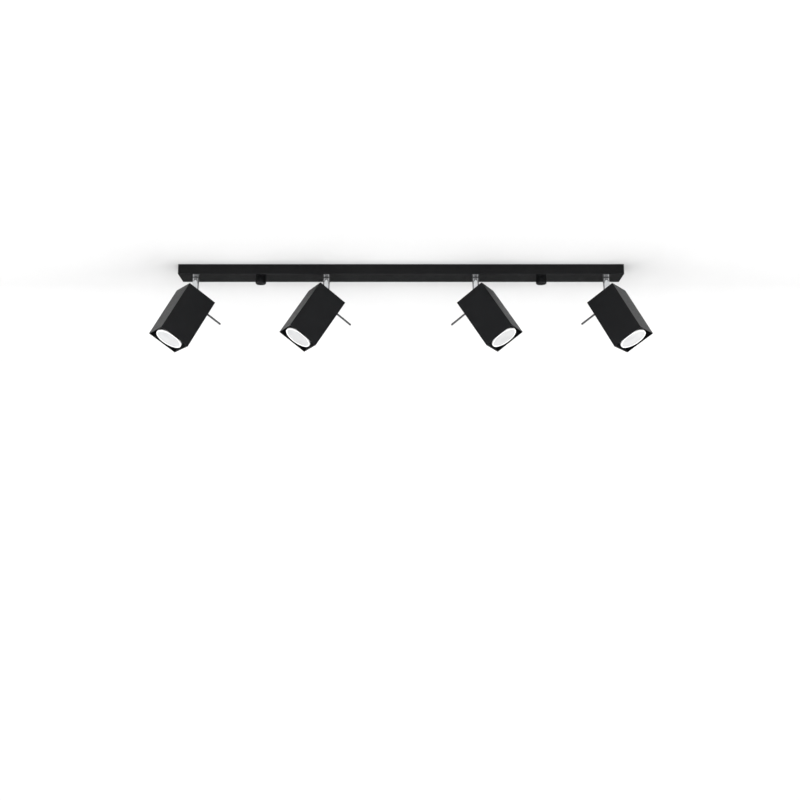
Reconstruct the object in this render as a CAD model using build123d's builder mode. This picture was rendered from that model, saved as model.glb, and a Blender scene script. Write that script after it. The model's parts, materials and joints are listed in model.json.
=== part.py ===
"""Ceiling spotlight bar: a folded steel bar with four square heads, each on a chrome swivel stem.

Frame: millimetres, +Z up, +X along the bar. The origin is the middle of the bar on the ceiling
plane, so the lamp hangs towards -Z, and -Y faces the room.
"""
import os

from build123d import *

os.makedirs("parts", exist_ok=True)

# --- Bar ---
bar_length = 800
bar_depth = 50
bar_height = 18.5
bar_wall = 1.2
bar_bend = 1

# --- Ceiling strap and what it carries ---
strap_length = 536
strap_width = 30
strap_wall = 1.5
strap_flange = 6.5
screw_slot_pitch = 380
screw_slot_length = 20
screw_slot_width = 4.8
stud_x = 254
stud_radius = 2
stud_base_radius = 2.5
stud_collar_radius = 4
cap_nut_radius = 9.7
cap_nut_height = 11
grommet_x = -45
grommet_radius = 7
grommet_bore = 4.25

# --- Terminal block and wiring ---
way_pitch = 8
way_count = 3
way_z = -6.5
block_length = 17
block_bottom = -13.5
sleeve_radius = 2.6
sleeve_bore = 1.9
sleeve_length = 15
clamp_screw_x = 4
clamp_screw_radius = 1.25
wire_radius = 0.65
wire_offset = 0.78
wire_lead_in = 28
wire_bend = 3.4
earth_x = 60
earth_wire_radius = 0.8

# --- Swivel: a stem turning in a bush in the floor of the bar ---
head_x = (-371.8, -135.1, 135.1, 371.8)
stem_neck_radius = 3.2
stem_radius = 6.2
stem_shoulder = 0.6
stem_flat = 5.9
stem_flat_height = 10.5
stem_bore = 1.7
bush_radius = 5
bush_flange_radius = 8.5
bush_flange = 1.4
swivel_clearance = 0.05
stop_radius = 7.2
stop_width = 1.6
stop_washer = 1.0
swivel_nut_size = 10
swivel_nut_height = 3.2

# --- Spot head ---
pivot_drop = 57
head_width = 57.8
head_length = 100.7
head_wall = 1.2
head_corner = 0.8
pivot_inset = 4.5
head_offset = 1.2
slot_front = 21.2
slot_back = 12.7
slot_width = 13.3
bracket_wall = 1.5
bracket_width = 20
bracket_gap = 6
bracket_depth = 27
bracket_flange_reach = 20
bracket_relief = 8
pivot_radius = 1.5
pivot_head_radius = 2.75
pivot_nut_size = 5.5
pivot_nut_height = 2.4
handle_drop = 14.5
handle_reach = 66
handle_radius = 1.8

# --- Lamp and socket ---
lamp_radius = 24.5
lamp_recess = 1
lamp_length = 48
lamp_neck_radius = 13.5
lens_radius = 21.6
lens_recess = 0.5
lens_cap_height = 2.4
pin_circle = 5
pin_neck = 1.3
pin_head = 2.4
pin_neck_length = 3.2
pin_head_length = 3.8
pin_clearance = 0.25
release_angle = 25
socket_screw_pitch = 12

# --- Rest pose: which way each beam points, and how far it leans from straight down ---
beam_azimuth = (214.3, 205.4, -25.4, -34.3)
beam_tilt = (29.5, 33.4, 33.4, 29.5)

floor_top = bar_wall - bar_height
underside_above_pivot = pivot_drop - bar_height
mouth_z = pivot_inset - head_length
lamp_face_z = mouth_z + lamp_recess
lamp_base_z = lamp_face_z + lamp_length


def save(piece, name, location=Location()):
    """Writes one copy of a finished piece where it stands in the lamp."""
    placed = piece.part.moved(location)
    placed.label = name
    export_step(placed, f"parts/{name}.step")


def hex_nut(across_flats, height, bore):
    """A plain hexagon nut standing on the XY plane, with its outer corners turned down."""
    with BuildPart() as nut:
        with BuildSketch():
            RegularPolygon(across_flats / 2, 6, major_radius=False)
        extrude(amount=height)
        with BuildSketch():
            Circle(across_flats / 2 * 1.12)
        extrude(amount=height, mode=Mode.INTERSECT)
        with Locations((0, 0, height)):
            Hole(bore)
    return nut


# --- Bar cover: a folded channel, open towards the ceiling ---
with BuildPart() as bar_cover:
    with BuildSketch(Plane.XY.offset(-bar_height)):
        Rectangle(bar_length, bar_depth)
    extrude(amount=bar_height)
    fillet(bar_cover.edges().filter_by(Axis.Z), bar_bend)
    fillet(bar_cover.faces().sort_by(Axis.Z)[0].edges(), bar_bend)
    with BuildSketch(Plane.XY.offset(floor_top)):
        Rectangle(bar_length - 2 * bar_wall, bar_depth - 2 * bar_wall)
    extrude(amount=bar_height, mode=Mode.SUBTRACT)
    with Locations(*[(x, 0, floor_top) for x in head_x]):
        Hole(bush_radius, depth=2 * bar_wall)
    with Locations((-stud_x, 0, floor_top), (stud_x, 0, floor_top)):
        Hole(stud_radius + 0.3, depth=2 * bar_wall)
    with BuildSketch(Plane.XY.offset(floor_top - bar_wall / 2)):
        with Locations((earth_x, 0)):
            Circle(stud_radius)
    extrude(amount=8 + bar_wall / 2)
save(bar_cover, "bar_cover")

# --- Ceiling strap: flat steel with both long edges turned down ---
with BuildPart() as ceiling_strap:
    with BuildSketch(Plane.YZ.offset(-strap_length / 2)):
        with BuildLine() as strap_section:
            middle = strap_wall / 2
            edge = strap_width / 2 - middle
            FilletPolyline((-edge, -strap_flange), (-edge, -middle), (edge, -middle),
                           (edge, -strap_flange), radius=1.2)
        trace(line_width=strap_wall)
    extrude(amount=strap_length)
    with BuildSketch():
        with GridLocations(screw_slot_pitch, 0, 2, 1):
            SlotOverall(screw_slot_length, screw_slot_width)
        with GridLocations(2 * stud_x, 0, 2, 1):
            Circle(stud_base_radius)
        with Locations((grommet_x, 0)):
            Circle(grommet_radius)
        with GridLocations(0, way_pitch, 1, 2):
            Circle(clamp_screw_radius)
    extrude(amount=-strap_wall, mode=Mode.SUBTRACT)
save(ceiling_strap, "ceiling_strap")

# --- Studs pressed into the strap, and the cap nuts that hold the bar up on them ---
stud_tip = bar_height + cap_nut_height - 2.5
with BuildPart() as strap_studs:
    with GridLocations(2 * stud_x, 0, 2, 1):
        Cylinder(stud_base_radius, strap_wall, align=(Align.CENTER, Align.CENTER, Align.MAX))
        Cylinder(stud_radius, stud_tip, align=(Align.CENTER, Align.CENTER, Align.MAX))
    with Locations((-stud_x, 0, -strap_wall), (stud_x, 0, -strap_wall)):
        Cylinder(stud_collar_radius, strap_wall, align=(Align.CENTER, Align.CENTER, Align.MAX))
save(strap_studs, "strap_studs")

with BuildPart() as cap_nuts:
    with BuildSketch(Plane.XY.offset(-bar_height)):
        with GridLocations(2 * stud_x, 0, 2, 1):
            Circle(cap_nut_radius)
    extrude(amount=-cap_nut_height)
    fillet(cap_nuts.faces().group_by(Axis.Z)[0].edges(), 2)
    with BuildSketch(Plane.XY.offset(-bar_height)):
        with GridLocations(2 * stud_x, 0, 2, 1):
            Circle(stud_radius)
    extrude(amount=-(cap_nut_height - 1.5), mode=Mode.SUBTRACT)
save(cap_nuts, "cap_nuts")

# --- Cable grommet: its top is flush with the strap, against the ceiling ---
with BuildPart() as cable_grommet:
    with BuildSketch(Plane.XZ):
        with BuildLine():
            Polyline((grommet_bore, 0), (grommet_radius, 0), (grommet_radius, -strap_wall),
                     (grommet_radius + 2.5, -strap_wall), (grommet_radius + 1.8, -4),
                     (grommet_bore, -4), close=True)
        make_face()
    revolve(axis=Axis.Z)
save(cable_grommet, "cable_grommet", Location((grommet_x, 0, 0)))

# --- Terminal block: one way each for neutral, earth and live, on snap pegs in the strap ---
way_y = [(way - (way_count - 1) / 2) * way_pitch for way in range(way_count)]
clamp_places = [(x, y) for x in (-clamp_screw_x, clamp_screw_x) for y in way_y]

with BuildPart() as terminal_block:
    with BuildSketch(Plane.XY.offset(block_bottom)):
        Rectangle(block_length, way_count * way_pitch)
        with GridLocations(block_length, way_pitch, 2, way_count - 1):
            Rectangle(3, 1.5, mode=Mode.SUBTRACT)
    extrude(amount=-strap_wall - block_bottom)
    with BuildSketch(Plane.XY.offset(-strap_wall)):
        with GridLocations(0, way_pitch, 1, 2):
            Circle(clamp_screw_radius)
    extrude(amount=strap_wall - 0.2)
    with BuildSketch(Plane.YZ.offset(-block_length / 2)):
        with Locations(*[(y, way_z) for y in way_y]):
            Circle(sleeve_radius)
    extrude(amount=block_length, mode=Mode.SUBTRACT)
    with BuildSketch(Plane.XY.offset(block_bottom)):
        with Locations(*clamp_places):
            Circle(2.1)
    extrude(amount=way_z - block_bottom - 1, mode=Mode.SUBTRACT)
save(terminal_block, "terminal_block")

with BuildPart() as terminal_clamps:
    with BuildSketch(Plane.YZ.offset(-sleeve_length / 2)):
        with Locations(*[(y, way_z) for y in way_y]):
            Circle(sleeve_radius)
            Circle(sleeve_bore, mode=Mode.SUBTRACT)
    extrude(amount=sleeve_length)
    with BuildSketch(Plane.XY.offset(block_bottom)):
        with Locations(*clamp_places):
            Circle(clamp_screw_radius + 0.1)
    extrude(amount=way_z - block_bottom - 1, mode=Mode.SUBTRACT)
    with BuildSketch(Plane.XY.offset(block_bottom + 0.3)):
        with Locations(*clamp_places):
            Circle(clamp_screw_radius)
    extrude(amount=way_z - block_bottom - 1.5)
    with BuildSketch(Plane.XY.offset(block_bottom + 0.3)):
        with Locations(*clamp_places):
            Circle(1.9)
            Rectangle(3.4, 0.6, mode=Mode.SUBTRACT)
    extrude(amount=2)
save(terminal_clamps, "terminal_clamps")


def wire(points, radii, radius):
    """A round wire along straight runs joined by arcs."""
    with BuildPart() as piece:
        with BuildLine() as route:
            FilletPolyline(*points, radius=radii)
        with BuildSketch(Plane(origin=route.line @ 0, z_dir=route.line % 0)):
            Circle(radius)
        sweep(path=route.line)
    return piece.part


def supply_wires(side):
    """Four wires of one polarity, from their way in the terminal block down into each stem."""
    runs = []
    for x in head_x:
        towards = 1 if x > 0 else -1
        spread = wire_offset if abs(x) > stud_x else -wire_offset
        run_y = side * (way_pitch + spread)
        turn_x = x - towards * wire_lead_in
        stem_y = side * wire_offset
        points = [(towards * 2.5, run_y, way_z), (turn_x, run_y, way_z), (x, stem_y, way_z),
                  (x, stem_y, -pivot_drop / 2)]
        runs.append(wire(points, [20, wire_bend], wire_radius))
    with BuildPart() as wires:
        add(runs)
    return wires


save(supply_wires(1), "live_wires")
save(supply_wires(-1), "neutral_wires")

# --- Earth lead: a wire and its ring lug, clamped on a stud in the floor of the bar ---
lug_top = floor_top + 0.8
earth_wire_z = lug_top + earth_wire_radius / 2
earth_wire = wire([(2.5, 0, way_z), (24, 0, way_z), (40, 0, earth_wire_z),
                   (earth_x - 5, 0, earth_wire_z)], [12, 12], earth_wire_radius)
with BuildPart() as earth_lead:
    with BuildSketch(Plane.XY.offset(floor_top)):
        with Locations((earth_x, 0)):
            Circle(4.2)
        with Locations((earth_x - 6, 0)):
            Rectangle(9, 3.6)
        with Locations((earth_x, 0)):
            Circle(stud_radius + 0.1, mode=Mode.SUBTRACT)
    extrude(amount=lug_top - floor_top)
    add(earth_wire)
save(earth_lead, "earth_lead")
save(hex_nut(7, 3.2, stud_radius), "earth_nut", Location((earth_x, 0, lug_top)))

# --- Swivel bushes: each has a lug that stops the washer's tab just short of a full turn ---
with BuildPart() as swivel_bushes:
    with BuildSketch(Plane.XY.offset(-bar_height)):
        with Locations(*[(x, 0) for x in head_x]):
            Circle(bush_radius)
    extrude(amount=bar_wall)
    with BuildSketch(Plane.XY.offset(floor_top)):
        with Locations(*[(x, 0) for x in head_x]):
            Circle(bush_flange_radius)
    extrude(amount=bush_flange)
    with BuildSketch(Plane.XY.offset(floor_top + bush_flange)):
        with Locations(*[(x, -(stop_radius + bush_flange_radius) / 2) for x in head_x]):
            Rectangle(stop_width, bush_flange_radius - stop_radius - 0.2)
    extrude(amount=2)
    with BuildSketch(Plane.XY.offset(-bar_height)):
        with Locations(*[(x, 0) for x in head_x]):
            Circle(stem_neck_radius + swivel_clearance)
    extrude(amount=bar_height, mode=Mode.SUBTRACT)
save(swivel_bushes, "swivel_bushes")

# --- Swivel stem, washer and nut: origin at the pivot, +Z up, +X the way the beam leans ---
washer_z = pivot_drop + floor_top + bush_flange + swivel_clearance
swivel_nut_z = washer_z + stop_washer
stem_top = swivel_nut_z + swivel_nut_height + 0.3
neck_z = underside_above_pivot - 0.3

with BuildPart() as swivel_stem:
    with BuildSketch(Plane.XZ):
        with BuildLine():
            Polyline((0, -stem_radius), (0, stem_top), (stem_neck_radius, stem_top),
                     (stem_neck_radius, neck_z), (stem_radius - stem_shoulder, neck_z),
                     (stem_radius, neck_z - stem_shoulder), (stem_radius, 0))
            CenterArc((0, 0), stem_radius, 0, -90)
        make_face()
    revolve(axis=Axis.Z)
    with BuildSketch(Plane.XY.offset(-stem_radius)):
        with GridLocations(0, 2 * stem_flat + 10, 1, 2):
            Rectangle(4 * stem_radius, 10)
    extrude(amount=stem_radius + stem_flat_height, mode=Mode.SUBTRACT)
    with BuildSketch(Plane.XZ.offset(-stem_radius)):
        Circle(pivot_radius + swivel_clearance)
    extrude(amount=2 * stem_radius, mode=Mode.SUBTRACT)
    with Locations((0, 0, stem_top)):
        Hole(stem_bore, depth=stem_top - stem_flat_height - 4)
    with BuildSketch(Plane.YZ):
        with Locations((0, stem_flat_height + 4)):
            Circle(stem_bore)
    extrude(amount=-stem_radius, mode=Mode.SUBTRACT)

with BuildPart() as stop_washer_piece:
    with BuildSketch(Plane.XY.offset(washer_z)):
        Circle(6.5)
        with Locations((-(6 + 4 / 2), 0)):
            Rectangle(4, stop_width)
        Circle(stem_neck_radius, mode=Mode.SUBTRACT)
    extrude(amount=stop_washer)

swivel_nut = hex_nut(swivel_nut_size, swivel_nut_height, stem_neck_radius)

# --- Head shell: a square tube, closed at the top by a plate with a slot for the stem ---
# The shell, handle pin, socket and lamp share the head's centre line, which stands head_offset
# from the pivot. Their origin is on it, level with the pivot: -Z along the beam, +X as it leans.
with BuildPart() as head_shell:
    with BuildSketch(Plane.XY.offset(mouth_z)):
        Rectangle(head_width, head_width)
    extrude(amount=head_length)
    fillet(head_shell.edges().filter_by(Axis.Z), head_corner)
    fillet(head_shell.faces().sort_by(Axis.Z)[-1].edges(), head_corner)
    with BuildSketch(Plane.XY.offset(mouth_z)):
        Rectangle(head_width - 2 * head_wall, head_width - 2 * head_wall)
    extrude(amount=head_length - head_wall, mode=Mode.SUBTRACT)
    with BuildSketch(Plane.XY.offset(pivot_inset)):
        with Locations(((slot_front - slot_back) / 2 - head_offset, 0)):
            SlotOverall(slot_front + slot_back, slot_width)
    extrude(amount=-2 * head_wall, mode=Mode.SUBTRACT)
    with BuildSketch(Plane.YZ.offset(-head_width / 2)):
        with Locations((0, pivot_inset - handle_drop)):
            Circle(handle_radius)
    extrude(amount=2 * head_wall, mode=Mode.SUBTRACT)

# --- Pivot bracket: a U of steel strip under the top plate, with the socket on its web ---
# The bracket, its screw and its nut have their origin at the pivot.
plate_underside = pivot_inset - head_wall
ear_outside = bracket_gap + bracket_wall
with BuildPart() as pivot_bracket:
    with BuildSketch(Plane.YZ.offset(-bracket_width / 2)):
        with BuildLine():
            half = bracket_wall / 2
            ear = bracket_gap + half
            flange_z = plate_underside - half
            web_z = -bracket_depth + half
            FilletPolyline((-bracket_flange_reach, flange_z), (-ear, flange_z), (-ear, web_z),
                           (ear, web_z), (ear, flange_z), (bracket_flange_reach, flange_z),
                           radius=1)
        trace(line_width=bracket_wall)
    extrude(amount=bracket_width)
    with BuildSketch(Plane.XZ.offset(-bracket_flange_reach)):
        Circle(pivot_radius)
    extrude(amount=2 * bracket_flange_reach, mode=Mode.SUBTRACT)
    with BuildSketch(Plane.XY.offset(plate_underside)):
        with GridLocations(0, 2 * (bracket_flange_reach + ear_outside), 1, 2):
            Rectangle(bracket_relief, 2 * bracket_flange_reach)
    extrude(amount=-2 * bracket_wall, mode=Mode.SUBTRACT)
    with BuildSketch(Plane.XY.offset(-bracket_depth)):
        with Locations((head_offset, 0)):
            Circle(2.5)
            with GridLocations(socket_screw_pitch, 0, 2, 1):
                Circle(1.5)
    extrude(amount=bracket_wall, mode=Mode.SUBTRACT)

# --- Pivot screw and nut: the head turns on the screw's plain shank ---
with BuildPart() as pivot_screw:
    with BuildSketch(Plane.XZ.offset(-ear_outside)):
        Circle(pivot_head_radius)
    extrude(amount=-2)
    fillet(pivot_screw.faces().sort_by(Axis.Y)[-1].edges(), 0.7)
    with BuildSketch(Plane.XZ.offset(-ear_outside)):
        Circle(pivot_radius)
    extrude(amount=2 * ear_outside + pivot_nut_height + 1)
    with BuildSketch(Plane.XZ.offset(-ear_outside - 2)):
        Rectangle(0.8, 2 * pivot_head_radius + 1)
    extrude(amount=0.9, mode=Mode.SUBTRACT)

pivot_nut = hex_nut(pivot_nut_size, pivot_nut_height, pivot_radius)
pivot_nut_place = Plane.XZ.offset(ear_outside).location

# --- Handle pin: riveted through the wall on the side away from the beam's lean ---
wall_inside = head_width / 2 - head_wall
with BuildPart() as handle_pin:
    with BuildSketch(Plane.XZ):
        with BuildLine():
            Polyline((-handle_reach + handle_radius, handle_radius),
                     (-head_width / 2 - 1.2, handle_radius),
                     (-head_width / 2 - 1.2, 2.6), (-head_width / 2, 2.6),
                     (-head_width / 2, handle_radius), (-wall_inside, handle_radius),
                     (-wall_inside, 2.4), (-wall_inside + 1, 2.4), (-wall_inside + 1, 0),
                     (-handle_reach, 0))
            CenterArc((-handle_reach + handle_radius, 0), handle_radius, 90, 90)
        make_face()
    revolve(axis=Axis.X)
handle_place = Location((0, 0, pivot_inset - handle_drop))

# --- Lamp socket: ceramic, with two keyhole slots that the lamp's pins turn into ---
socket_face = lamp_base_z + 0.1
socket_height = -bracket_depth - socket_face
chamber_z = lamp_base_z + pin_neck_length - 0.3
pin_arc = CenterArc((0, 0), pin_circle, 0, -release_angle)
with BuildPart() as lamp_socket:
    with BuildSketch(Plane.XY.offset(socket_face)):
        RectangleRounded(30, 21, 4)
    extrude(amount=socket_height)
    chamfer(lamp_socket.faces().sort_by(Axis.Z)[0].edges(), 0.8)
    with BuildSketch(Plane.XY.offset(socket_face)):
        with PolarLocations(0, 2):
            SlotArc(pin_arc, 2 * (pin_neck + pin_clearance))
        with PolarLocations(pin_circle, 2, start_angle=-release_angle):
            Circle(pin_head + pin_clearance)
    extrude(amount=chamber_z - socket_face, mode=Mode.SUBTRACT)
    with BuildSketch(Plane.XY.offset(chamber_z)):
        with PolarLocations(0, 2):
            SlotArc(pin_arc, 2 * (pin_head + pin_clearance))
    extrude(amount=pin_head_length + 1, mode=Mode.SUBTRACT)
    with BuildSketch(Plane.XY.offset(-bracket_depth)):
        with GridLocations(socket_screw_pitch, 0, 2, 1):
            Circle(1.5)
    extrude(amount=-7, mode=Mode.SUBTRACT)

with BuildPart() as socket_screws:
    with BuildSketch(Plane.XY.offset(-bracket_depth + bracket_wall)):
        with GridLocations(socket_screw_pitch, 0, 2, 1):
            Circle(2.7)
    extrude(amount=2)
    fillet(socket_screws.faces().group_by(Axis.Z)[-1].edges(), 0.7)
    with BuildSketch(Plane.XY.offset(-bracket_depth + bracket_wall)):
        with GridLocations(socket_screw_pitch, 0, 2, 1):
            Circle(1.5)
    extrude(amount=-bracket_wall - 6)
    with BuildSketch(Plane.XY.offset(-bracket_depth + bracket_wall + 2)):
        with GridLocations(socket_screw_pitch, 0, 2, 1):
            Rectangle(0.8, 6)
    extrude(amount=-0.9, mode=Mode.SUBTRACT)

# --- Lamp: a tapered housing with a pin base, closed by a moulded diffuser cap with a raised rim ---
cap_z = lamp_face_z + lens_cap_height
with BuildPart() as lamp_body:
    with BuildSketch(Plane.XZ):
        with BuildLine():
            Polyline((lens_radius - 2, cap_z), (lamp_radius, cap_z), (lamp_radius, cap_z + 6),
                     (lamp_radius - 1, cap_z + 7), (lamp_neck_radius + 1, lamp_base_z - 14),
                     (lamp_neck_radius, lamp_base_z - 10), (lamp_neck_radius, lamp_base_z),
                     (0, lamp_base_z), (0, cap_z + 14), (lens_radius - 6, cap_z + 14),
                     (lens_radius - 2, cap_z + 3), close=True)
        make_face()
    revolve(axis=Axis.Z)
    with BuildSketch(Plane.XY.offset(lamp_base_z)):
        with PolarLocations(pin_circle, 2):
            Circle(pin_neck)
    extrude(amount=pin_neck_length)
    with BuildSketch(Plane.XY.offset(lamp_base_z + pin_neck_length)):
        with PolarLocations(pin_circle, 2):
            Circle(pin_head)
    extrude(amount=pin_head_length)

with BuildPart() as lamp_lens:
    with BuildSketch(Plane.XZ):
        with BuildLine():
            Polyline((0, lamp_face_z + lens_recess), (lens_radius, lamp_face_z + lens_recess),
                     (lens_radius + 0.2, lamp_face_z), (lamp_radius - 0.6, lamp_face_z),
                     (lamp_radius, lamp_face_z + 0.6), (lamp_radius, cap_z), (0, cap_z),
                     close=True)
        make_face()
    revolve(axis=Axis.Z)

# --- The four heads, from the left end of the bar to the right ---
for number in range(len(head_x)):
    azimuth = beam_azimuth[number]
    tilt = beam_tilt[number]
    pivot = (head_x[number], 0, -pivot_drop)
    stem_place = Location(pivot, (0, 0, azimuth))
    pivot_place = stem_place * Location((0, 0, 0), (0, -tilt, 0))
    head_place = pivot_place * Location((head_offset, 0, 0))
    tag = number + 1
    save(swivel_stem, f"swivel_stem_{tag}", stem_place)
    save(stop_washer_piece, f"stop_washer_{tag}", stem_place)
    save(swivel_nut, f"swivel_nut_{tag}", stem_place * Location((0, 0, swivel_nut_z)))
    save(head_shell, f"head_shell_{tag}", head_place)
    save(pivot_bracket, f"pivot_bracket_{tag}", pivot_place)
    save(pivot_screw, f"pivot_screw_{tag}", pivot_place)
    save(pivot_nut, f"pivot_nut_{tag}", pivot_place * pivot_nut_place)
    save(handle_pin, f"handle_pin_{tag}", head_place * handle_place)
    save(lamp_socket, f"lamp_socket_{tag}", head_place)
    save(socket_screws, f"socket_screws_{tag}", head_place)
    save(lamp_body, f"lamp_body_{tag}", head_place)
    save(lamp_lens, f"lamp_lens_{tag}", head_place)
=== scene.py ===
import json
from math import cos, pi, radians, sin

import bmesh
import bpy
from mathutils import Matrix, Vector


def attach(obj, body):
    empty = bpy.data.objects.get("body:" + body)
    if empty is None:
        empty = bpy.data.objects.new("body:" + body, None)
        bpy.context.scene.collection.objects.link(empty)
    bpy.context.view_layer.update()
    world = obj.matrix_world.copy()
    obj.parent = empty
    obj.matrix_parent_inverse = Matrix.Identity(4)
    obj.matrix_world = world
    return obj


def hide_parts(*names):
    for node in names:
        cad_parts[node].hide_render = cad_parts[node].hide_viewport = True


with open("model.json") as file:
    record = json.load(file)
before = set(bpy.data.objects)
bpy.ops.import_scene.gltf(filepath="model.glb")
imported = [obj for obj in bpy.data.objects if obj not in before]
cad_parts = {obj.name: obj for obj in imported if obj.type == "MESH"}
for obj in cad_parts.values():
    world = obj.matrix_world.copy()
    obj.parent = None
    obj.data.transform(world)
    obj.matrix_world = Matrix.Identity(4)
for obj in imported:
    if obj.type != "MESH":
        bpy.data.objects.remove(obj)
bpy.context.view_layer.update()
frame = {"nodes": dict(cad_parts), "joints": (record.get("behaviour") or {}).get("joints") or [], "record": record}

# Lengths are in metres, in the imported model's frame: origin on the ceiling, at the bar's middle.
HEADS = (1, 2, 3, 4)
JOINTS = {joint["name"]: joint for joint in frame["joints"]}

# Camera: below the ceiling and in front of the bar, looking slightly up.
CAMERA_PLACE = (-0.00185, -1.9728, -0.6178)
CAMERA_PITCH = 10.747
CAMERA_LENS = 50.88
SENSOR = 36

# Stage sheets, as (left, front) and (right, back) corners. The ceiling is open inside the bar's
# rim, and carries painted light: a glow that grows between two distances behind the bar.
CEILING_SHEET = ((-2.4, -1.6), (2.4, 0.75))
CEILING_HOLE = ((-0.3988, -0.0238), (0.3988, 0.0238))
CEILING_HEIGHT = 0.0002
CEILING_SHADE = 0.585
CEILING_PAINTED_LIGHT_FROM = 0.1
CEILING_PAINTED_LIGHT_TO = 0.7
CEILING_PAINTED_LIGHT = 0.35
FLOOR_SHEET = ((-4.5, -4.5), (4.5, 4.5))
FLOOR_DROP = 1.35
FLOOR_SHADE = 0.92
FLOOR_GLOW = 0.25

# The dark card: an upright sheet behind the lamp, seen in glossy faces only.
FLAG_SPAN = (-1.4, 1.4)
FLAG_HEIGHTS = (-1.32, -0.42)
FLAG_DISTANCE = 2.4
FLAG_SHADE = 0.06
FLAG_SPECULAR = 0.5
STAGE_ROUGHNESS = 0.9

# Surroundings: the strength behind the lamp, and the share of it on the viewer's side.
WORLD_STRENGTH = 1.04
WORLD_NEAR_SHARE = 0.76
WORLD_RAMP = (0.3, 0.85)

# Lights: name, place, the point it faces, (width, height) and power in watts.
CEILING_LIGHT = "ceiling_graze"
LIGHTS = (
    ("front_fill", (0, -2.5, -0.45), (0, 0, -0.05), (2.6, 0.4), 16),
    (CEILING_LIGHT, (0, -2.5, -0.42), (0, 0, 0), (2.6, 0.36), 75),
    ("left_key", (-2.2, -0.6, -0.9), (0, 0, -0.05), (1.2, 1.2), 22),
    ("right_key", (2.2, -0.6, -0.9), (0, 0, -0.05), (1.2, 1.2), 22),
)

# Lamp face: the rim and the frosted disc of the diffuser cap.
RIM_RADIUS = 0.0245
# Painted light: the rim is plastic, not the lamp's light source, and glows faintly to look brighter.
RIM_PAINTED_GLOW = 0.04
LENS_RADIUS = 0.0221
LENS_EDGE_DEPTH = 0.0006
LENS_DISH_DEPTH = 0.00062
LENS_CROWN = 0.00022
LENS_MIDDLE_DEPTH = 0.0004
LENS_STEPS = 22
STEP_RIDGE = 0.00005
STEP_TOP = 0.00012
STEP_FOOT = 0.00055
CAP_HEIGHT = 0.0024
MESH_TURNS = 128
SHARP_ANGLE = 35


# ---------------------------------------------------------------- materials

# Places of the Mix node's colour sockets, which share their names with other kinds.
MIX_FACTOR, MIX_FIRST, MIX_SECOND, MIX_RESULT = 0, 6, 7, 2


class Shader:
    """A Principled material under construction, with short calls for the nodes it needs."""

    def __init__(self, name, **sockets):
        self.material = bpy.data.materials.new(name)
        self.material.use_nodes = True
        self.nodes = self.material.node_tree.nodes
        self.links = self.material.node_tree.links
        self.bsdf = self.nodes["Principled BSDF"]
        for socket, value in sockets.items():
            self.bsdf.inputs[socket.replace("_", " ")].default_value = value
        self.place = self.nodes.new("ShaderNodeTexCoord").outputs["Object"]

    def noise(self, scale, detail=3.0, roughness=0.55, stretch=None):
        """A noise texture in object space; stretch squeezes it along the axes."""
        node = self.nodes.new("ShaderNodeTexNoise")
        node.inputs["Scale"].default_value = scale
        node.inputs["Detail"].default_value = detail
        node.inputs["Roughness"].default_value = roughness
        source = self.place
        if stretch:
            mapping = self.nodes.new("ShaderNodeMapping")
            mapping.inputs["Scale"].default_value = stretch
            self.links.new(source, mapping.inputs["Vector"])
            source = mapping.outputs["Vector"]
        self.links.new(source, node.inputs["Vector"])
        return node.outputs["Fac"]

    def cells(self, scale):
        """Rounded cells, for the orange peel of a powder coat."""
        node = self.nodes.new("ShaderNodeTexVoronoi")
        node.feature = "SMOOTH_F1"
        node.inputs["Scale"].default_value = scale
        self.links.new(self.place, node.inputs["Vector"])
        return node.outputs["Distance"]

    def ramp(self, source, stops):
        """A colour ramp through (position, colour) stops."""
        node = self.nodes.new("ShaderNodeValToRGB")
        ramp = node.color_ramp
        while len(ramp.elements) < len(stops):
            ramp.elements.new(0.5)
        for element, (position, colour) in zip(ramp.elements, stops):
            element.position = position
            element.color = (*colour, 1)
        self.links.new(source, node.inputs["Fac"])
        return node.outputs["Color"]

    def span(self, source, low, high, start=0.3, end=0.7):
        """Maps a noise value onto the range low to high."""
        node = self.nodes.new("ShaderNodeMapRange")
        node.inputs["From Min"].default_value = start
        node.inputs["From Max"].default_value = end
        node.inputs["To Min"].default_value = low
        node.inputs["To Max"].default_value = high
        self.links.new(source, node.inputs["Value"])
        return node.outputs["Result"]

    def mix(self, factor, first, second):
        """Mixes two colours, each a socket or a constant, by a factor that is a socket."""
        node = self.nodes.new("ShaderNodeMix")
        node.data_type = "RGBA"
        self.links.new(factor, node.inputs[MIX_FACTOR])
        for key, value in ((MIX_FIRST, first), (MIX_SECOND, second)):
            if isinstance(value, bpy.types.NodeSocket):
                self.links.new(value, node.inputs[key])
            else:
                node.inputs[key].default_value = (*value, 1)
        return node.outputs[MIX_RESULT]

    def bump(self, *layers):
        """Adds bump layers, each a height source, a strength and a distance in metres."""
        normal = None
        for source, strength, distance in layers:
            node = self.nodes.new("ShaderNodeBump")
            node.inputs["Strength"].default_value = strength
            node.inputs["Distance"].default_value = distance
            self.links.new(source, node.inputs["Height"])
            if normal:
                self.links.new(normal, node.inputs["Normal"])
            normal = node.outputs["Normal"]
        self.links.new(normal, self.bsdf.inputs["Normal"])

    def feed(self, socket, source):
        """Links a source to one of the shader's sockets."""
        self.links.new(source, self.bsdf.inputs[socket])


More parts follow.
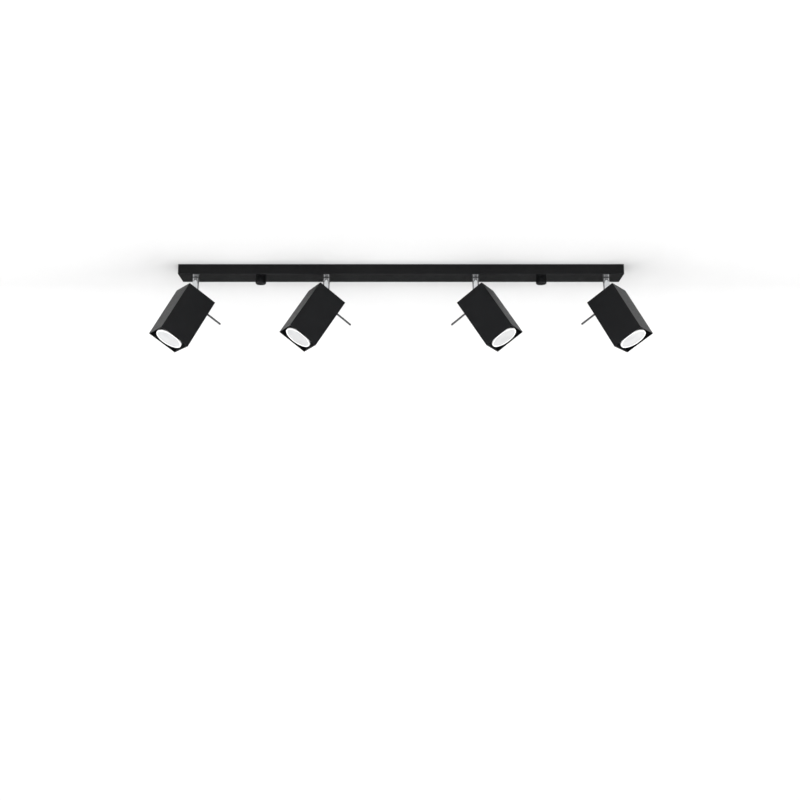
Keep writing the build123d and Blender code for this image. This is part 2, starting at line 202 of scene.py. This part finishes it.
def powder_coat():
    """Fine-textured matt black powder coat on the heads."""
    coat = Shader("powder_coat_black", IOR=1.23, Sheen_Weight=0.05, Sheen_Roughness=0.3)
    grain = coat.noise(2600, 2)
    drift = coat.noise(45, 4)
    tone = coat.mix(coat.span(drift, 0, 1),
                    (0.0024, 0.0027, 0.0033), (0.0036, 0.0039, 0.0046))
    fleck = coat.ramp(grain, [(0.62, (0, 0, 0)), (0.74, (1, 1, 1))])
    tone = coat.mix(fleck, tone, (0.009, 0.009, 0.0095))
    coat.feed("Base Color", tone)
    coat.feed("Roughness", coat.span(coat.noise(180, 3), 0.44, 0.52))
    coat.bump((coat.cells(1500), 0.35, 0.00006), (grain, 0.25, 0.00004))
    return coat.material


def bar_paint():
    """Smoother satin black paint on the bar and its cap nuts."""
    paint = Shader("satin_paint_black", IOR=1.25)
    drift = paint.noise(18, 3, stretch=(0.2, 1, 1))
    tone = paint.mix(paint.span(drift, 0, 1),
                     (0.0022, 0.0024, 0.0028), (0.0032, 0.0034, 0.0038))
    paint.feed("Base Color", tone)
    paint.feed("Roughness", paint.span(paint.noise(90, 3), 0.13, 0.18))
    paint.bump((paint.cells(1100), 0.05, 0.00003), (paint.noise(2400, 2), 0.05, 0.00002))
    return paint.material


def plated_steel():
    """Zinc plating with brushed streaks and slight clouding."""
    steel = Shader("zinc_plate", Metallic=1.0)
    streaks = steel.noise(350, 4, stretch=(0.05, 1, 1))
    cloud = steel.noise(60, 4)
    tone = steel.mix(steel.span(cloud, 0, 1), (0.5, 0.51, 0.52), (0.66, 0.67, 0.66))
    steel.feed("Base Color", tone)
    steel.feed("Roughness", steel.span(streaks, 0.25, 0.42))
    steel.bump((streaks, 0.15, 0.00005))
    return steel.material


def chrome():
    """Bright chrome with faint polishing marks and smears."""
    plating = Shader("chrome_polished", Metallic=1.0)
    smear = plating.noise(140, 4)
    tone = plating.mix(plating.span(smear, 0, 1, 0.4, 0.75),
                       (0.68, 0.69, 0.7), (0.58, 0.59, 0.61))
    plating.feed("Base Color", tone)
    plating.feed("Roughness", plating.span(smear, 0.05, 0.13, 0.35, 0.75))
    plating.bump((plating.noise(900, 2, stretch=(1, 1, 0.05)), 0.05, 0.00003))
    return plating.material


def oxide_black():
    """Blackened steel of the aiming pins, unevenly rubbed."""
    oxide = Shader("oxide_black", Metallic=0.7)
    wear = oxide.noise(260, 4)
    tone = oxide.mix(oxide.span(wear, 0, 1), (0.06, 0.06, 0.062), (0.11, 0.11, 0.114))
    oxide.feed("Base Color", tone)
    oxide.feed("Roughness", oxide.span(wear, 0.3, 0.46))
    oxide.bump((oxide.noise(1800, 2), 0.15, 0.00003))
    return oxide.material


def plastic(name, dark, light, roughness, grain=1200, glow=0.0):
    """Moulded plastic: two close tones, a fine surface grain and uneven gloss; a glow, if given, is painted light.
    """
    moulded = Shader(name)
    cloud = moulded.noise(70, 4)
    tone = moulded.mix(moulded.span(cloud, 0, 1), dark, light)
    moulded.feed("Base Color", tone)
    moulded.feed("Roughness", moulded.span(moulded.noise(220, 3), roughness, roughness + 0.12))
    moulded.bump((moulded.noise(grain, 2), 0.1, 0.00004))
    if glow:
        moulded.bsdf.inputs["Emission Color"].default_value = (1, 1, 1, 1)
        moulded.bsdf.inputs["Emission Strength"].default_value = glow
    return moulded.material


def brass():
    """Machined brass with turning marks."""
    metal = Shader("brass_machined", Metallic=1.0)
    cloud = metal.noise(120, 4)
    tone = metal.mix(metal.span(cloud, 0, 1), (0.62, 0.42, 0.16), (0.8, 0.6, 0.27))
    metal.feed("Base Color", tone)
    metal.feed("Roughness", metal.span(metal.noise(600, 3, stretch=(0.1, 1, 1)), 0.22, 0.38))
    metal.bump((metal.noise(900, 2), 0.1, 0.00003))
    return metal.material


def frosted_lens():
    """Frosted diffuser: milky, faintly clouded, with a fine grain."""
    lens = Shader("lens_frosted")
    cloud = lens.noise(55, 4)
    tone = lens.mix(lens.span(cloud, 0, 1), (0.46, 0.463, 0.467), (0.53, 0.533, 0.537))
    lens.feed("Base Color", tone)
    lens.feed("Roughness", lens.span(lens.noise(300, 3), 0.42, 0.55))
    lens.bump((lens.noise(1500, 3), 0.2, 0.00006))
    return lens.material


def earth_insulation():
    """Green wire with yellow stripes."""
    stripe = Shader("insulation_earth")
    wave = stripe.nodes.new("ShaderNodeTexWave")
    wave.bands_direction = "Y"
    wave.inputs["Scale"].default_value = 350
    wave.inputs["Distortion"].default_value = 1.2
    stripe.links.new(stripe.place, wave.inputs["Vector"])
    stripe.feed("Base Color", stripe.ramp(wave.outputs["Fac"], [(0.45, (0.05, 0.3, 0.05)),
                                                                (0.55, (0.75, 0.6, 0.04))]))
    stripe.feed("Roughness", stripe.span(stripe.noise(300, 3), 0.35, 0.5))
    stripe.bump((stripe.noise(1200, 2), 0.1, 0.00003))
    return stripe.material


MATERIALS = {
    "bar_paint": bar_paint(),
    "head_paint": powder_coat(),
    "zinc": plated_steel(),
    "chrome": chrome(),
    "rubber": plastic("rubber_black", (0.012, 0.012, 0.012), (0.025, 0.025, 0.025), 0.6),
    "nylon": plastic("nylon_natural", (0.7, 0.68, 0.62), (0.8, 0.78, 0.73), 0.4),
    "black_nylon": plastic("nylon_black", (0.01, 0.01, 0.01), (0.02, 0.02, 0.02), 0.42),
    "brass": brass(),
    "live_insulation": plastic("insulation_live", (0.16, 0.06, 0.02), (0.24, 0.09, 0.035),
                               0.35),
    "neutral_insulation": plastic("insulation_neutral", (0.03, 0.12, 0.4), (0.05, 0.18, 0.5),
                                  0.35),
    "earth_insulation": earth_insulation(),
    "black_pin": oxide_black(),
    "ceramic": plastic("ceramic_glazed", (0.76, 0.74, 0.68), (0.84, 0.82, 0.77), 0.22, 600),
    "lamp_housing": plastic("lamp_housing_dark", (0.02, 0.02, 0.021), (0.04, 0.04, 0.042),
                            0.45),
    "lamp_lens": frosted_lens(),
}
# The white rim of the cap, with a faint glow of painted light.
RIM_WHITE_PAINTED_GLOW = plastic("lamp_rim_white_painted_glow", (0.88, 0.88, 0.88), (0.93, 0.93, 0.93), 0.3, 900,
                    glow=RIM_PAINTED_GLOW)


def dress_cad_nodes():
    """Gives every CAD node the material of its slot in the record."""
    for entry in frame["record"]["subparts"]:
        node = frame["nodes"][entry["node"]]
        node.data.materials.clear()
        node.data.materials.append(MATERIALS[entry["material_slot"]])


# ---------------------------------------------------------------- studio

def link(thing):
    """Puts an object into the scene."""
    bpy.context.scene.collection.objects.link(thing)
    return thing


def add_camera():
    """The camera that sees the lamp as a person standing in the room does."""
    camera = link(bpy.data.objects.new("camera", bpy.data.cameras.new("camera")))
    camera.data.lens = CAMERA_LENS
    camera.data.sensor_width = SENSOR
    camera.location = CAMERA_PLACE
    camera.rotation_euler = (radians(90 + CAMERA_PITCH), 0, 0)
    bpy.context.scene.camera = camera


def outline(corners, height):
    """Corners of a level rectangle, anticlockwise seen from above."""
    (left, front), (right, back) = corners
    return [(left, front, height), (right, front, height), (right, back, height),
            (left, back, height)]


def add_stage(name, points, faces, material):
    """A flat sheet of the stage, which isn't part of the lamp."""
    mesh = bpy.data.meshes.new(name)
    mesh.from_pydata(points, [], faces)
    mesh.materials.append(material)
    sheet = link(bpy.data.objects.new(name, mesh))
    return sheet


def add_ceiling():
    """The ceiling, facing down, as a frame of four quads round the bar's inside."""
    points = outline(CEILING_SHEET, CEILING_HEIGHT) + outline(CEILING_HOLE, CEILING_HEIGHT)
    faces = [(k, 4 + k, 4 + (k + 1) % 4, (k + 1) % 4) for k in range(4)]
    return add_stage("ceiling", points, faces, ceiling_white_painted_light())


def add_floor():
    """The floor, facing up."""
    add_stage("floor", outline(FLOOR_SHEET, -FLOOR_DROP), [(0, 1, 2, 3)],
              matt("floor_white", FLOOR_SHADE, glow=FLOOR_GLOW))


def add_flag():
    """A dark card behind the lamp, seen only in glossy faces, for a dark underside of the bar."""
    (left, right), (low, high) = FLAG_SPAN, FLAG_HEIGHTS
    points = [(left, FLAG_DISTANCE, low), (right, FLAG_DISTANCE, low),
              (right, FLAG_DISTANCE, high), (left, FLAG_DISTANCE, high)]
    card = add_stage("flag", points, [(0, 1, 2, 3)],
                     matt("flag_dark", FLAG_SHADE, specular=FLAG_SPECULAR))
    card.visible_camera = False
    card.visible_diffuse = False
    card.visible_shadow = False
    card.visible_transmission = False


def matt(name, shade, glow=0.0, specular=0.0):
    """A matt white or grey for the stage, with a glow of its own if wanted."""
    material = bpy.data.materials.new(name)
    material.use_nodes = True
    bsdf = material.node_tree.nodes["Principled BSDF"]
    bsdf.inputs["Base Color"].default_value = (shade, shade, shade, 1)
    bsdf.inputs["Roughness"].default_value = STAGE_ROUGHNESS
    bsdf.inputs["Specular IOR Level"].default_value = specular
    bsdf.inputs["Emission Color"].default_value = (1, 1, 1, 1)
    bsdf.inputs["Emission Strength"].default_value = glow
    return material


def ceiling_white_painted_light():
    """Matt white with painted light, a glow that grows towards the back; it isn't there when seen or lit from
    above.
    """
    material = matt("ceiling_white_painted_light", CEILING_SHADE)
    nodes = material.node_tree.nodes
    links = material.node_tree.links
    bsdf = nodes["Principled BSDF"]
    reach = nodes.new("ShaderNodeSeparateXYZ")
    links.new(nodes.new("ShaderNodeTexCoord").outputs["Object"], reach.inputs["Vector"])
    # Painted light: emission grows with distance behind the bar and lifts the ceiling to white there.
    painted_light_lift = nodes.new("ShaderNodeMapRange")
    painted_light_lift.inputs["From Min"].default_value = CEILING_PAINTED_LIGHT_FROM
    painted_light_lift.inputs["From Max"].default_value = CEILING_PAINTED_LIGHT_TO
    painted_light_lift.inputs["To Max"].default_value = CEILING_PAINTED_LIGHT
    links.new(reach.outputs["Y"], painted_light_lift.inputs["Value"])
    links.new(painted_light_lift.outputs["Result"], bsdf.inputs["Emission Strength"])
    clear = nodes.new("ShaderNodeBsdfTransparent")
    mixer = nodes.new("ShaderNodeMixShader")
    back = nodes.new("ShaderNodeNewGeometry").outputs["Backfacing"]
    links.new(back, mixer.inputs["Fac"])
    links.new(bsdf.outputs["BSDF"], mixer.inputs[1])
    links.new(clear.outputs["BSDF"], mixer.inputs[2])
    links.new(mixer.outputs["Shader"], nodes["Material Output"].inputs["Surface"])
    return material


def add_world():
    """White surroundings, a little dimmer on the side that the viewer stands on."""
    world = bpy.data.worlds.new("studio")
    bpy.context.scene.world = world
    world.use_nodes = True
    nodes = world.node_tree.nodes
    links = world.node_tree.links
    split = nodes.new("ShaderNodeSeparateXYZ")
    links.new(nodes.new("ShaderNodeTexCoord").outputs["Generated"], split.inputs["Vector"])
    ramp = nodes.new("ShaderNodeMapRange")
    ramp.inputs["From Min"].default_value = WORLD_RAMP[0]
    ramp.inputs["From Max"].default_value = WORLD_RAMP[1]
    ramp.inputs["To Min"].default_value = WORLD_NEAR_SHARE * WORLD_STRENGTH
    ramp.inputs["To Max"].default_value = WORLD_STRENGTH
    links.new(split.outputs["Y"], ramp.inputs["Value"])
    background = nodes["Background"]
    background.inputs["Color"].default_value = (1, 1, 1, 1)
    links.new(ramp.outputs["Result"], background.inputs["Strength"])


def add_light(name, place, aim, size, power):
    """A soft rectangular light, (width, height) in size, aimed at a point."""
    data = bpy.data.lights.new(name, "AREA")
    data.shape = "RECTANGLE"
    data.size, data.size_y = size
    data.energy = power
    light = link(bpy.data.objects.new(name, data))
    light.location = place
    light.rotation_euler = (Vector(aim) - Vector(place)).to_track_quat("-Z", "Y").to_euler()
    return light


def light_only(light, thing):
    """Keeps a light's rays for one object. The others still cast their shadows on it."""
    receivers = bpy.data.collections.new(f"{light.name}_receivers")
    receivers.objects.link(thing)
    light.light_linking.receiver_collection = receivers


# ---------------------------------------------------------------- new pieces

def lamp_frame(number):
    """Axes of a lamp: origin amid its rim, Z out of the mouth, X square to the tilt axis."""
    tilt_axis = Vector(JOINTS[f"tilt_{number}"]["axis"])
    twist = JOINTS[f"lamp_twist_{number}"]
    beam = Vector(twist["axis"]).normalized()
    across = beam.cross(tilt_axis).normalized()
    base = Vector(twist["pos_m"])
    vertices = frame["nodes"][f"lamp_lens_{number}"].data.vertices
    reach = max((vertex.co - base).dot(beam) for vertex in vertices)
    place = Matrix((across, beam.cross(across), beam)).transposed().to_4x4()
    place.translation = base + beam * reach
    return place


def turned(name, profile, place, material):
    """A closed solid of revolution about Z from (radius, height) points, put at a place."""
    work = bmesh.new()
    rings = []
    for radius, height in profile:
        if radius == 0:
            rings.append([work.verts.new((0, 0, height))])
            continue
        rings.append([work.verts.new((radius * cos(2 * pi * k / MESH_TURNS),
                                      radius * sin(2 * pi * k / MESH_TURNS), height))
                      for k in range(MESH_TURNS)])
    pairs = list(zip(rings, rings[1:]))
    if len(rings[0]) > 1:
        pairs.append((rings[-1], rings[0]))
    for lower, upper in pairs:
        for k in range(MESH_TURNS):
            corners = []
            for ring, index in ((lower, k), (lower, k + 1), (upper, k + 1), (upper, k)):
                corner = ring[index % len(ring)]
                if corner not in corners:
                    corners.append(corner)
            if len(corners) > 2:
                work.faces.new(corners)
    bmesh.ops.recalc_face_normals(work, faces=work.faces)
    for face in work.faces:
        face.smooth = True
    mesh = bpy.data.meshes.new(name)
    work.to_mesh(mesh)
    work.free()
    mesh.transform(place)
    mesh.materials.append(material)
    mesh.set_sharp_from_angle(angle=radians(SHARP_ANGLE))
    return link(bpy.data.objects.new(name, mesh))


def rim_profile():
    """The raised rim of the diffuser cap, with rounded edges."""
    inner, outer = LENS_RADIUS, RIM_RADIUS
    return [(inner, -CAP_HEIGHT), (outer, -CAP_HEIGHT), (outer, -0.0007),
            (outer - 0.0001, -0.0004), (outer - 0.0003, -0.00015), (outer - 0.0006, 0),
            (inner + 0.0004, 0), (inner + 0.00015, -0.0001), (inner, -0.0003)]


def lens_profile():
    """A crowned disc set below the rim, with fine rings that soften towards the middle."""
    points = [(0.0, -CAP_HEIGHT), (LENS_RADIUS, -CAP_HEIGHT), (LENS_RADIUS, -LENS_EDGE_DEPTH)]
    for step in range(LENS_STEPS):
        share = 1 - step / LENS_STEPS
        radius = LENS_RADIUS * share
        level = -LENS_DISH_DEPTH + LENS_CROWN * (1 - share * share)
        ridge = STEP_RIDGE * share
        points.append((radius - STEP_TOP, level + ridge))
        points.append((radius - STEP_FOOT, level - ridge))
    points.append((0.0, -LENS_MIDDLE_DEPTH))
    return points


def add_cap(number):
    """The diffuser cap of a lamp, a white rim with a faint painted glow round a frosted disc, instead of its CAD
    solid.
    """
    place = lamp_frame(number)
    for name, profile, material in (("rim_detail", rim_profile(), RIM_WHITE_PAINTED_GLOW),
                                    ("lens_detail", lens_profile(), MATERIALS["lamp_lens"])):
        piece = turned(f"{name}_{number}", profile, place, material)
        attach(piece, f"lamp_{number}")
        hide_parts(f"lamp_lens_{number}")


# ---------------------------------------------------------------- the scene

bpy.context.scene.view_settings.view_transform = "Standard"
add_camera()
add_world()
ceiling = add_ceiling()
add_floor()
add_flag()
for name, place, aim, size, power in LIGHTS:
    light = add_light(name, place, aim, size, power)
    if name == CEILING_LIGHT:
        light_only(light, ceiling)

dress_cad_nodes()
for head in HEADS:
    add_cap(head)
